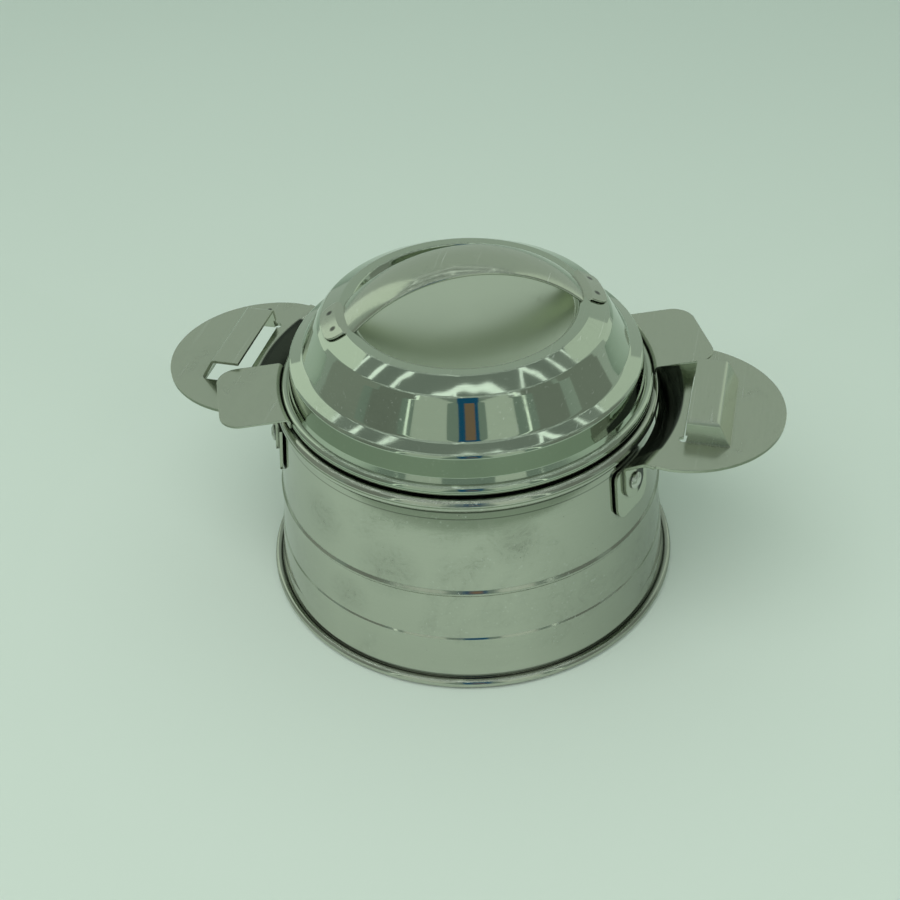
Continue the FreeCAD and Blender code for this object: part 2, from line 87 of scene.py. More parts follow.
def heading(a, b):
    """Unit direction between two 2D points."""
    dx = b[0] - a[0]
    dy = b[1] - a[1]
    length = math.hypot(dx, dy)
    return dx / length, dy / length


def smooth_path(points, radii, steps=8):
    """The path through the points with each inner corner rounded to its radius."""
    out = [points[0]]
    for i in range(1, len(points) - 1):
        corner = points[i]
        d1 = heading(points[i - 1], corner)
        d2 = heading(corner, points[i + 1])
        turn = math.atan2(d1[0] * d2[1] - d1[1] * d2[0], d1[0] * d2[0] + d1[1] * d2[1])
        radius = radii[i - 1]
        reach = radius * math.tan(abs(turn) / 2)
        if reach < 0.001:
            out.append(corner)
            continue
        side = 1 if turn > 0 else -1
        start = (corner[0] - d1[0] * reach, corner[1] - d1[1] * reach)
        centre = (start[0] - d1[1] * radius * side, start[1] + d1[0] * radius * side)
        first = math.atan2(start[1] - centre[1], start[0] - centre[0])
        for k in range(steps + 1):
            angle = first + turn * k / steps
            out.append((centre[0] + radius * math.cos(angle), centre[1] + radius * math.sin(angle)))
    out.append(points[-1])
    return out


def offset_path(points, radii, distance):
    """The same path moved to the left of its travel, with matching radii."""
    moved = []
    new_radii = []
    last = len(points) - 1
    for i in range(len(points)):
        d1 = heading(points[max(i - 1, 0)], points[max(i - 1, 0) + 1])
        d2 = heading(points[min(i, last - 1)], points[min(i, last - 1) + 1])
        n1 = (-d1[1], d1[0])
        n2 = (-d2[1], d2[0])
        scale = distance / (1 + n1[0] * n2[0] + n1[1] * n2[1])
        moved.append((points[i][0] + (n1[0] + n2[0]) * scale, points[i][1] + (n1[1] + n2[1]) * scale))
        if 0 < i < last:
            left = d1[0] * d2[1] - d1[1] * d2[0] > 0
            new_radii.append(max(radii[i - 1] + (-distance if left else distance), 0.1))
    return moved, new_radii


def filled(points, longest=6.0):
    """Extra points along the long straight stretches."""
    out = [points[0]]
    for a, b in zip(points, points[1:]):
        count = max(1, math.ceil(math.dist(a, b) / longest))
        for k in range(1, count + 1):
            out.append((a[0] + (b[0] - a[0]) * k / count, a[1] + (b[1] - a[1]) * k / count))
    return out


def sheet_loop(points, radii, distance):
    """Closed section of a bent sheet."""
    near = filled(smooth_path(points, radii))
    moved, new_radii = offset_path(points, radii, distance)
    far = filled(smooth_path(moved, new_radii))
    return near + far[::-1]


def ring_loop(radius, z, tube, steps=40):
    """Closed section of a rolled edge."""
    turns = [2 * math.pi * k / steps for k in range(steps)]
    return [(radius + tube * math.cos(a), z + tube * math.sin(a)) for a in turns]


def lathe(name, loops):
    """A body of revolution about +Z from closed sections in millimetres."""
    mesh = bpy.data.meshes.new(name)
    bm = bmesh.new()
    for loop in loops:
        rings = []
        for r, z in loop:
            if r < 0.01:
                rings.append([bm.verts.new((0, 0, z * MM))])
                continue
            ring = []
            for k in range(SEGMENTS):
                a = 2 * math.pi * k / SEGMENTS
                ring.append(bm.verts.new((r * math.cos(a) * MM, r * math.sin(a) * MM, z * MM)))
            rings.append(ring)
        for i in range(len(rings)):
            a = rings[i]
            b = rings[(i + 1) % len(rings)]
            if len(a) == 1 and len(b) == 1:
                continue
            for k in range(SEGMENTS):
                n = (k + 1) % SEGMENTS
                if len(a) == 1:
                    bm.faces.new((a[0], b[n], b[k]))
                elif len(b) == 1:
                    bm.faces.new((a[k], a[n], b[0]))
                else:
                    bm.faces.new((a[k], a[n], b[n], b[k]))
    return finish_mesh(name, mesh, bm)


def finish_mesh(name, mesh, bm):
    """The mesh as an object with outward faces, smooth but for its sharp edges."""
    bmesh.ops.recalc_face_normals(bm, faces=bm.faces)
    bm.to_mesh(mesh)
    bm.free()
    mesh.shade_smooth()
    mesh.set_sharp_from_angle(angle=math.radians(38))
    obj = bpy.data.objects.new(name, mesh)
    bpy.context.scene.collection.objects.link(obj)
    return obj


class Nodes:
    """Short names for adding and joining shader nodes."""

    def __init__(self, name):
        self.material = bpy.data.materials.new(name)
        self.material.use_nodes = True
        self.tree = self.material.node_tree
        self.shader = self.tree.nodes["Principled BSDF"]
        self.coords = self.add("ShaderNodeTexCoord").outputs["Object"]

    def add(self, kind, **settings):
        node = self.tree.nodes.new(kind)
        for key, value in settings.items():
            setattr(node, key, value)
        return node

    def join(self, source, target):
        self.tree.links.new(source, target)

    def feed(self, node, key, value):
        if isinstance(value, bpy.types.NodeSocket):
            self.join(value, node.inputs[key])
        else:
            node.inputs[key].default_value = value

    def math(self, operation, a, b=0.0, clamp=False):
        node = self.add("ShaderNodeMath", operation=operation, use_clamp=clamp)
        self.feed(node, 0, a)
        self.feed(node, 1, b)
        return node.outputs[0]

    def scaled(self, vector, scale, turn=(0, 0, 0)):
        node = self.add("ShaderNodeMapping")
        self.join(vector, node.inputs["Vector"])
        node.inputs["Scale"].default_value = scale
        node.inputs["Rotation"].default_value = turn
        return node.outputs[0]

    def noise(self, vector, scale, detail=4.0, rough=0.5, warp=0.0):
        node = self.add("ShaderNodeTexNoise")
        self.join(vector, node.inputs["Vector"])
        node.inputs["Scale"].default_value = scale
        node.inputs["Detail"].default_value = detail
        node.inputs["Roughness"].default_value = rough
        node.inputs["Distortion"].default_value = warp
        return node.outputs[0]

    def between(self, value, low, high, out_low=0.0, out_high=1.0):
        node = self.add("ShaderNodeMapRange", clamp=True)
        self.join(value, node.inputs["Value"])
        node.inputs["From Min"].default_value = low
        node.inputs["From Max"].default_value = high
        node.inputs["To Min"].default_value = out_low
        node.inputs["To Max"].default_value = out_high
        return node.outputs[0]

    def mix(self, factor, a, b):
        node = self.add("ShaderNodeMix", data_type="RGBA")
        self.feed(node, 0, factor)
        self.feed(node, 6, a)
        self.feed(node, 7, b)
        return node.outputs[2]

    def bump(self, height, strength, distance, normal=None):
        node = self.add("ShaderNodeBump")
        node.inputs["Strength"].default_value = strength
        node.inputs["Distance"].default_value = distance
        self.join(height, node.inputs["Height"])
        if normal is not None:
            self.join(normal, node.inputs["Normal"])
        return node.outputs[0]

    def spot(self, place, inner, outer):
        """One inside a small ball at a place in millimetres, falling to zero at its edge."""
        node = self.add("ShaderNodeVectorMath", operation="DISTANCE")
        self.join(self.coords, node.inputs[0])
        node.inputs[1].default_value = [v * MM for v in place]
        return self.between(node.outputs["Value"], outer * MM, inner * MM)


def inside(nodes, value, low, high, soft):
    """One where a length lies between two limits in millimetres, with soft ends."""
    rise = nodes.between(value, (low - soft) * MM, low * MM)
    fall = nodes.between(value, high * MM, (high + soft) * MM, 1.0, 0.0)
    return nodes.math("MULTIPLY", rise, fall)


def round_coords(nodes):
    """Coordinates that follow the turning marks: height, radius and azimuth."""
    split = nodes.add("ShaderNodeSeparateXYZ")
    nodes.join(nodes.coords, split.inputs[0])
    x, y, z = split.outputs
    azimuth = nodes.math("ARCTAN2", y, x)
    squares = nodes.math("ADD", nodes.math("MULTIPLY", x, x), nodes.math("MULTIPLY", y, y))
    radius = nodes.math("SQRT", squares)
    merge = nodes.add("ShaderNodeCombineXYZ")
    nodes.join(z, merge.inputs[0])
    nodes.join(radius, merge.inputs[1])
    nodes.join(nodes.math("MULTIPLY", azimuth, 0.075), merge.inputs[2])
    return merge.outputs[0]


def steel(
    name, tint, rough, lines, wave, smudge, grain=None, turn=(0, 0, 0), blots=(), dots=(),
    side_shade=0.0, soft_edges=False, shade_heights=(), satin=0.0, apron_shade=0.0,
):
    """Polished or brushed steel with smudges, lines, scratches, pits and fixed painted shade.

    The painted shade lies in creases, which it also roughens, in bands at set heights, towards the sides
    under the handles and on the apron, whatever the view.
    """
    n = Nodes(name)
    if grain is None:
        line_coords = n.scaled(round_coords(n), TURNED_GRAIN)
    else:
        line_coords = n.scaled(n.coords, grain, turn)
    line = n.noise(line_coords, 1.0, detail=3.0, rough=0.6)
    cloud = n.noise(n.coords, CLOUD_SCALE, detail=6.0, rough=0.62, warp=1.2)
    cloud = n.between(cloud, 0.5, 0.74)
    print_marks = n.noise(n.coords, PRINT_SCALE, detail=5.0, rough=0.7, warp=2.5)
    print_marks = n.between(print_marks, 0.46, 0.66)
    dull = n.math("MULTIPLY", cloud, n.math("ADD", n.math("MULTIPLY", print_marks, 0.7), 0.3))
    for place, inner, outer in blots:
        strength = n.between(print_marks, 0.0, 1.0, 0.45, 1.0)
        blot = n.math("MULTIPLY", n.spot(place, inner, outer), strength)
        dull = n.math("MAXIMUM", dull, blot)
    scratch = n.noise(n.scaled(n.coords, SCRATCH_GRAIN, SCRATCH_TURN), 1.0, detail=2.0)
    worn = n.between(cloud, 0.0, 0.4, 0.25, 1.0)
    scratch = n.math("MULTIPLY", n.between(scratch, 0.665, 0.69), worn)
    pits = n.add("ShaderNodeTexVoronoi")
    n.join(n.coords, pits.inputs["Vector"])
    pits.inputs["Scale"].default_value = PIT_SCALE
    pit = n.between(pits.outputs["Distance"], 0.1, 0.04)
    pit = n.math("MULTIPLY", pit, n.between(n.noise(n.coords, PIT_PATCH_SCALE), 0.58, 0.62))
    # Painted shade: the colour darkens in patches where ambient occlusion finds creases and gaps; the same
    # mask also roughens the steel.
    corner = n.add("ShaderNodeAmbientOcclusion", samples=6, only_local=False)
    corner.inputs["Distance"].default_value = CREASE_SHADE_REACH * MM
    crease_shade_and_grime = n.between(corner.outputs["AO"], 0.30, 0.80, 1.0, 0.0)
    crease_patch = n.between(n.noise(n.coords, CREASE_PATCH_SCALE), 0.3, 0.7, 0.65, 1.0)
    crease_shade_and_grime = n.math("MULTIPLY", crease_shade_and_grime, crease_patch)
    mark = None
    for place, size in dots:
        speck = n.spot(place, size * 0.5, size)
        mark = speck if mark is None else n.math("MAXIMUM", mark, speck)

    colour = n.mix(n.math("MULTIPLY", dull, smudge), tint + (1,), tuple(c * 0.80 for c in tint) + (1,))
    colour = n.mix(n.between(line, 0.3, 0.7, 0.0, 0.10), colour, tuple(c * 0.72 for c in tint) + (1,))
    colour = n.mix(n.math("MULTIPLY", scratch, 0.35), colour, SCRATCH_TINT)
    colour = n.mix(n.math("MULTIPLY", pit, 0.75), colour, PIT_TINT)
    # Painted crease shade.
    colour = n.mix(n.math("MULTIPLY", crease_shade_and_grime, 0.88), colour, CREASE_SHADE_TINT)
    split = n.add("ShaderNodeSeparateXYZ")
    n.join(n.coords, split.inputs[0])
    east, north, up = split.outputs
    squares = n.math("ADD", n.math("MULTIPLY", east, east), n.math("MULTIPLY", north, north))
    radius = n.math("SQRT", squares)
    # Painted shade lines: dark bands at the given heights.
    for low, high, soft, depth in shade_heights:
        ring = n.math("MULTIPLY", inside(n, up, low, high, soft), depth)
        colour = n.mix(ring, colour, SHADE_LINE_TINT)
    if satin > 0:
        disc = inside(n, radius, 0.0, SATIN_RADIUS, 1.2)
        colour = n.mix(n.math("MULTIPLY", disc, 0.8), colour, SATIN_TINT)
    # Painted shade: the apron of the handle plate near the wall is darkened.
    if apron_shade > 0:
        near_wall = inside(n, radius, APRON_RADII[0], APRON_RADII[1], 0.5)
        apron = n.math("MULTIPLY", near_wall, inside(n, north, -APRON_REACH, APRON_REACH, 1.0))
        below_top = inside(n, up, APRON_HEIGHTS[0], APRON_HEIGHTS[1], 0.2)
        apron = n.math("MULTIPLY", n.math("MULTIPLY", apron, below_top), apron_shade)
        colour = n.mix(apron, colour, APRON_SHADE_TINT)
    # Painted shade: the colour darkens towards the sides under the handles, in patches.
    if side_shade > 0:
        toward = n.math("DIVIDE", n.math("ABSOLUTE", east), radius)
        patchy = n.between(n.noise(n.coords, SIDE_SHADE_PATCH_SCALE), 0.3, 0.7, 0.8, 1.0)
        side = n.math("MULTIPLY", n.between(toward, 0.45, 0.95, 0.0, side_shade), patchy)
        colour = n.mix(side, colour, SIDE_SHADE_TINT)
    if mark is not None:
        colour = n.mix(n.math("MULTIPLY", mark, 0.9), colour, WELD_TINT)
    n.join(colour, n.shader.inputs["Base Color"])

    value = n.math("ADD", rough, n.math("MULTIPLY", dull, 0.20 * smudge))
    value = n.math("ADD", value, n.between(line, 0.25, 0.75, -0.5 * lines * 0.1, 0.5 * lines * 0.1))
    value = n.math("ADD", value, n.math("MULTIPLY", scratch, 0.12))
    if satin > 0:
        value = n.math("ADD", value, n.math("MULTIPLY", disc, satin))
    value = n.math("ADD", value, n.math("MULTIPLY", crease_shade_and_grime, 0.25), clamp=True)
    n.join(value, n.shader.inputs["Roughness"])

    base = None
    if soft_edges:
        edge = n.add("ShaderNodeBevel", samples=6)
        edge.inputs["Radius"].default_value = EDGE_SOFTNESS * MM
        base = edge.outputs[0]
    swell = n.noise(n.coords, SWELL_SCALE, detail=1.5, rough=0.4)
    normal = n.bump(swell, wave, 0.9 * MM, base)
    normal = n.bump(line, 0.05 * lines, 0.05 * MM, normal)
    normal = n.bump(n.math("ADD", scratch, pit), -0.12, 0.06 * MM, normal)
    if mark is not None:
        normal = n.bump(mark, -0.5, 0.3 * MM, normal)
    n.join(normal, n.shader.inputs["Normal"])
    n.shader.inputs["Metallic"].default_value = 1.0
    n.shader.inputs["Anisotropic"].default_value = 0.25 if grain is None else 0.35
    return n.material


def dress(obj, material):
    """Gives an object one material."""
    obj.data.materials.clear()
    obj.data.materials.append(material)


WALL_TINT = (0.525, 0.545, 0.465)
DOME_TINT = (0.455, 0.510, 0.415)
PLATE_TINT = (0.472, 0.505, 0.415)

wall_blots = [
    ((-40.0, -62.0, 60.0), 3.0, 13.0),
    ((-12.0, -73.0, 50.0), 4.0, 15.0),
    ((34.0, -66.0, 63.0), 3.0, 12.0),
    ((-30.0, -70.0, 30.0), 2.0, 11.0),
]
# Painted shade lines on the wall, as low and high height, softness and depth: above the base bead, under
# the rim and a little lower.
wall_shade_heights = [
    (3.9, 4.6, 0.4, 0.7),
    (78.9, 79.5, 0.3, 0.8),
    (76.0, 76.2, 0.25, 0.5),
]
# The wall steel carries painted shade in bands, in creases and towards its sides.
wall_steel = steel(
    "wall_polished_steel", WALL_TINT, 0.085, 0.5, 0.10, 1.25, blots=wall_blots, side_shade=0.42,
    shade_heights=wall_shade_heights,
)
dome_steel = steel("dome_mirror_steel", DOME_TINT, 0.05, 0.35, 0.30, 0.55, satin=0.26)
bowl_steel = steel("bowl_satin_steel", (0.60, 0.62, 0.57), 0.20, 1.6, 0.05, 0.6)

# The strap's spot welds, in millimetres
WELD_RADIUS = 49.4
WELD_ACROSS = 5.2
WELD_HEIGHT = 117.8
WELD_SIZE = 1.5


def weld_dots():
    """The strap's four spot welds, at rest."""
    places = []
    for side in (1, -1):
        for across in (-WELD_ACROSS, WELD_ACROSS):
            angle = math.radians(LID_TURN) + math.asin(across / WELD_RADIUS) * side
            x = WELD_RADIUS * math.cos(angle) * side
            y = WELD_RADIUS * math.sin(angle) * side
            places.append(((x, y, WELD_HEIGHT), WELD_SIZE))
    return places


strap_steel = steel(
    "strap_brushed_steel", PLATE_TINT, 0.14, 1.8, 0.18, 0.5,
    grain=(60, 2600, 1400), turn=(0, 0, math.radians(-LID_TURN)), dots=weld_dots(),
)
plate_marks = [((-92.4, 31.2, 83.6), 1.1), ((-91.2, 28.0, 83.6), 1.0)]
# The handle steel carries painted shade on its apron.
handle_steel = steel(
    "handle_brushed_steel", PLATE_TINT, 0.21, 0.8, 0.10, 0.9,
    grain=(2400, 70, 2400), dots=plate_marks, soft_edges=True, apron_shade=0.95,
)
bracket_steel = steel(
    "bracket_polished_steel", PLATE_TINT, 0.12, 0.8, 0.08, 0.8,
    grain=(1800, 1800, 90), soft_edges=True,
)
rivet_steel = steel(
    "rivet_satin_steel", (0.60, 0.61, 0.56), 0.22, 0.8, 0.05, 0.8, grain=(900, 900, 900),
)


def foam():
    """Rigid insulating foam with open cells."""
    n = Nodes("rigid_foam")
    cells = n.add("ShaderNodeTexVoronoi")
    n.join(n.coords, cells.inputs["Vector"])
    cells.inputs["Scale"].default_value = 900.0
    patch = n.noise(n.coords, 40.0, detail=5.0)
    tone = n.mix(n.between(patch, 0.3, 0.7), (0.78, 0.69, 0.44, 1), (0.88, 0.82, 0.60, 1))
    dark = n.between(cells.outputs["Distance"], 0.0, 0.3, 0.5, 0.0)
    colour = n.mix(dark, tone, (0.5, 0.42, 0.25, 1))
    n.join(colour, n.shader.inputs["Base Color"])
    n.join(n.bump(cells.outputs["Distance"], 0.6, 0.4 * MM), n.shader.inputs["Normal"])
    n.shader.inputs["Roughness"].default_value = 0.85
    return n.material


foam_material = foam()

# Base: flat disc, step and the rolled bead that shows below the wall
BASE_FLAT = 74.15
BASE_SLOPE = 76.35
BASE_BEAD = 81.6
BASE_STEP = 1.4
BASE_TUBE = 1.8
SKIRT = 78.3
base_points = [(0, 0), (BASE_FLAT, 0), (BASE_SLOPE, BASE_STEP), (BASE_BEAD, BASE_STEP)]
base_sheet = sheet_loop(base_points, [1.5, 1.5], SKIN)
skirt = sheet_loop([(SKIRT, 1.7), (SKIRT, 7.5), (SKIRT - 0.45, 12.0)], [2.0], SKIN)
base = lathe("base_cap", [base_sheet, ring_loop(BASE_BEAD, BASE_TUBE, BASE_TUBE), skirt])
dress(base, wall_steel)
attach(base, "pot")
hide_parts("base_plate")


STEP_RADIUS = 77.42
STEP_Z = 22.0
WALL_LEAN = 0.1
BEAD_LOW = 41.6
BEAD_MID = 43.0
BEAD_HIGH = 44.4
BODY_BEAD_OUT = 0.9
WALL_TOP = 79.5


def wall_radius(z):
    """Radius of the shell above its step."""
    return STEP_RADIUS - (z - STEP_Z) * WALL_LEAN


shell_points = [
    (80.5, 3.45),
    (79.15, 8.5),
    (STEP_RADIUS + 0.45, 21.3),
    (STEP_RADIUS, STEP_Z),
    (wall_radius(BEAD_LOW), BEAD_LOW),
    (wall_radius(BEAD_MID) + BODY_BEAD_OUT, BEAD_MID),
    (wall_radius(BEAD_HIGH), BEAD_HIGH),
    (wall_radius(WALL_TOP), WALL_TOP),
]
shell = lathe("pot_wall", [sheet_loop(shell_points, [9.0, 0.4, 0.4, 0.9, 1.0, 0.9], SKIN)])
dress(shell, wall_steel)
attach(shell, "pot")
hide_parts("outer_shell")

# Inner bowl with its rim
RIM_RADIUS = wall_radius(WALL_TOP) - 0.65
RIM_Z = 82.1
RIM_TUBE = 2.5
BOWL_FLOOR_RADIUS = 58.0
BOWL_FLOOR_Z = 12.8
BOWL_TOP_Z = 84.5
SEAT_GAP = 0.3
rim_inner = RIM_RADIUS - 5.4
bowl_points = [
    (0, BOWL_FLOOR_Z),
    (BOWL_FLOOR_RADIUS, BOWL_FLOOR_Z),
    (rim_inner, BOWL_TOP_Z),
    (RIM_RADIUS, BOWL_TOP_Z),
]
bowl_sheet = sheet_loop(bowl_points, [12.0, 1.6], -SKIN)
bowl = lathe("bowl_liner", [bowl_sheet, ring_loop(RIM_RADIUS, RIM_Z, RIM_TUBE)])
dress(bowl, wall_steel)
bowl.data.materials.append(bowl_steel)
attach(bowl, "pot")
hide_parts("inner_bowl")
for face in bowl.data.polygons:
    place = face.center
    if math.hypot(place.x, place.y) < (rim_inner + 1.0) * MM:
        face.material_index = 1

# Lid dome
BEAD_RADIUS = RIM_RADIUS - 2.1
BEAD_TUBE = 2.1
BEAD_Z = RIM_Z + RIM_TUBE + SEAT_GAP + BEAD_TUBE
TOP_Z = BEAD_Z + 31.6
BAND_Z = BEAD_Z + 12.4
RECESS = 41.9
RECESS_DEPTH = 2.6
band_low = BEAD_RADIUS - 1.3
lid_points = [
    (0, TOP_Z - RECESS_DEPTH),
    (RECESS - 1.1, TOP_Z - RECESS_DEPTH),
    (RECESS, TOP_Z),
    (RECESS + 4.1, TOP_Z),
    (RECESS + 11.3, TOP_Z - 3.9),
    (RECESS + 12.7, TOP_Z - 5.4),
    (band_low - 6.3, BAND_Z + 2.4),
    (band_low - 1.1, BAND_Z),
    (band_low, BEAD_Z + 4.2),
    (BEAD_RADIUS, BEAD_Z + 1.0),
]
lid_radii = [0.8, 1.0, 2.0, 2.5, 1.5, 2.5, 2.0, 1.5]
dome_sheet = sheet_loop(lid_points, lid_radii, -SKIN)
dome = lathe("dome_cover", [dome_sheet, ring_loop(BEAD_RADIUS, BEAD_Z, BEAD_TUBE)])
dress(dome, dome_steel)
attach(dome, "lid")
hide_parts("lid_dome")

# Inner pan of the lid
seat_z = RIM_Z + RIM_TUBE + SEAT_GAP
PAN_DEPTH = 6.9
PAN_SHEET = 0.6
pan_edge = rim_inner - 1.2
pan_points = [
    (0, seat_z - PAN_DEPTH),
    (pan_edge - 1.0, seat_z - PAN_DEPTH),
    (pan_edge, seat_z),
    (BEAD_RADIUS - BEAD_TUBE - 0.5, seat_z),
]
pan = lathe("pan_cover", [sheet_loop(pan_points, [3.0, 1.0], PAN_SHEET)])
dress(pan, bowl_steel)
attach(pan, "lid_core")
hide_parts("lid_inner_pan")

# Strap grip: arched band with a crowned section and rounded edges, lying on the lid at both ends
STRAP_WIDTH = 21.0
STRAP_FOOT = 44.6
STRAP_RISE = 19.2
STRAP_CROWN = 1.6
STRAP_SHEET = 1.0
STRAP_PAD = 7.4
STRAP_GAP = 0.05
PAD_START = 0.6
PAD_STEPS = 12
PAD_TAIL = 4.5
PAD_NARROWING = 0.30
ARCH_STEPS = 72
ARCH_SHARE = 0.985
ACROSS_STEPS = 28
EDGE_STEPS = 8
arch_radius = (STRAP_FOOT ** 2 + STRAP_RISE ** 2) / (2 * STRAP_RISE)
arch_z = TOP_Z + STRAP_RISE - arch_radius
pad_line = offset_path(lid_points[2:5], lid_radii[2:3], STRAP_GAP)[0]
pad_way = heading(pad_line[1], pad_line[2])


def strap_section():
    """Loop of (across, height) pairs round the band, with rounded edges."""
    half = STRAP_WIDTH / 2 - STRAP_SHEET / 2
    loop = []
    for k in range(ACROSS_STEPS + 1):
        loop.append((-half + 2 * half * k / ACROSS_STEPS, STRAP_SHEET))
    for k in range(1, EDGE_STEPS):
        a = math.pi / 2 - math.pi * k / EDGE_STEPS
        loop.append((half + STRAP_SHEET / 2 * math.cos(a), STRAP_SHEET / 2 * (1 + math.sin(a))))
    for k in range(ACROSS_STEPS + 1):
        loop.append((half - 2 * half * k / ACROSS_STEPS, 0.0))
    for k in range(1, EDGE_STEPS):
        a = -math.pi / 2 - math.pi * k / EDGE_STEPS
        loop.append((-half + STRAP_SHEET / 2 * math.cos(a), STRAP_SHEET / 2 * (1 + math.sin(a))))
    return loop


def arch_point(angle, across, height):
    """A point of the arch, at an angle from its top."""
    crown = STRAP_CROWN * (across / (STRAP_WIDTH / 2)) ** 2
    radius = arch_radius - STRAP_SHEET - crown + height
    return Vector((radius * math.sin(angle), across, arch_z + radius * math.cos(angle)))


def pad_point(way, across, height):
    """A point of the right pad, at a distance along the slope from the ring's edge."""
    rho = pad_line[1][0] + pad_way[0] * way
    z = pad_line[1][1] + pad_way[1] * way
    rho -= pad_way[1] * height
    z += pad_way[0] * height
    return Vector((math.sqrt(rho * rho - across * across), across, z))


def strap():
    """The whole band as one mesh."""
    mesh = bpy.data.meshes.new("strap_band")
    bm = bmesh.new()
    loop = strap_section()
    end_angle = math.asin(STRAP_FOOT / arch_radius)
    stations = []
    for k in range(PAD_STEPS + 1):
        share = k / PAD_STEPS
        stations.append(("pad", STRAP_PAD * (1 - share) + PAD_START * share, 1))
    for k in range(ARCH_STEPS + 1):
        stations.append(("arch", end_angle * (1 - 2 * k / ARCH_STEPS) * ARCH_SHARE, 1))
    for k in range(PAD_STEPS + 1):
        stations.append(("pad", PAD_START + (STRAP_PAD - PAD_START) * k / PAD_STEPS, -1))
    rings = []
    for kind, where, side in stations:
        ring = []
        for across, height in loop:
            if kind == "arch":
                point = arch_point(where, across, height)
            else:
                tail = max(0.0, where - STRAP_PAD + PAD_TAIL) / PAD_TAIL
                narrow = 1 - PAD_NARROWING * (1 - math.sqrt(max(0.0, 1 - tail * tail)))
                point = pad_point(where, across * narrow, height)
                point.x *= side
            ring.append(bm.verts.new(point * MM))
        rings.append(ring)
    for a, b in zip(rings, rings[1:]):
        for k in range(len(loop)):
            n = (k + 1) % len(loop)
            bm.faces.new((a[k], b[k], b[n], a[n]))
    bm.faces.new(rings[0])
    bm.faces.new(rings[-1][::-1])
    rest_turn = Matrix.Rotation(math.radians(LID_TURN), 3, "Z")
    bmesh.ops.rotate(bm, cent=(0, 0, 0), matrix=rest_turn, verts=bm.verts)
    return finish_mesh("strap_band", mesh, bm)


grip = strap()
dress(grip, strap_steel)
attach(grip, "lid")
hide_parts("lid_strap_grip")

# Nodes shown as packed
looks = {
    "right_handle": handle_steel,
    "left_handle": handle_steel,
    "right_lid_tongue": handle_steel,
    "left_lid_tongue": handle_steel,
    "right_near_bracket": bracket_steel,
    "right_far_bracket": bracket_steel,
    "left_near_bracket": bracket_steel,
    "left_far_bracket": bracket_steel,
    "right_near_rivet": rivet_steel,
    "right_far_rivet": rivet_steel,
    "left_near_rivet": rivet_steel,
    "left_far_rivet": rivet_steel,
    "body_insulation": foam_material,
    "lid_insulation": foam_material,
}
for node, material in looks.items():
    dress(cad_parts[node], material)

# Floor
FLOOR_TINT = (0.775, 0.865, 0.790)


def floor_material():
    """Smooth pale mint paper, with painted shade that darkens it towards the back."""
    n = Nodes("mint_paper")
    fibre = n.noise(n.coords, 900.0, detail=4.0)
    cloud = n.noise(n.coords, 1.6, detail=2.0)
    shaded = tuple(c * 0.97 for c in FLOOR_TINT) + (1,)
    tone = n.mix(n.between(cloud, 0.3, 0.7), FLOOR_TINT + (1,), shaded)
    split = n.add("ShaderNodeSeparateXYZ")
    n.join(n.coords, split.inputs[0])
    # Painted shade: the floor grows darker towards the back.
    back_shade = n.between(split.outputs["Y"], -0.15, 0.75, 0.0, 0.22)
    n.join(n.mix(back_shade, tone, (0.30, 0.42, 0.38, 1)), n.shader.inputs["Base Color"])
    n.join(n.bump(fibre, 0.05, 0.05 * MM), n.shader.inputs["Normal"])
    n.shader.inputs["Roughness"].default_value = 0.75
    return n.material


bpy.ops.mesh.primitive_plane_add(size=5.0, location=(0, 0, 0))
floor = bpy.context.object
floor.name = "floor"
dress(floor, floor_material())


def panel(name, azimuth, elevation, distance, width, height, strength, tint=(1.0, 1.0, 1.0)):
    """A soft light panel that faces the pot. Azimuth 0 is the viewer's side."""
    a = math.radians(azimuth)
    e = math.radians(elevation)
    place = Vector((math.sin(a) * math.cos(e), -math.cos(a) * math.cos(e), math.sin(e))) * distance
    mesh = bpy.data.meshes.new(name)
    w = width / 2
    h = height / 2
    mesh.from_pydata([(-w, -h, 0), (w, -h, 0), (w, h, 0), (-w, h, 0)], [], [(0, 1, 2, 3)])
    obj = bpy.data.objects.new(name, mesh)
    bpy.context.scene.collection.objects.link(obj)
    obj.location = place + Vector((0, 0, 0.09))
    obj.rotation_euler = (-place).to_track_quat("-Z", "Y").to_euler()
    material = bpy.data.materials.new(name)
    material.use_nodes = True
    tree = material.node_tree
    tree.nodes.clear()
    glow = tree.nodes.new("ShaderNodeEmission")
    glow.inputs["Color"].default_value = tint + (1,)
    glow.inputs["Strength"].default_value = strength
    out = tree.nodes.new("ShaderNodeOutputMaterial")
    tree.links.new(glow.outputs[0], out.inputs["Surface"])
    obj.data.materials.append(material)
    return obj


def glossy_only(obj):
    """Shows an object only in reflections."""
    obj.visible_camera = False
    obj.visible_diffuse = False
    obj.visible_shadow = False
    obj.visible_transmission = False
    obj.visible_volume_scatter = False


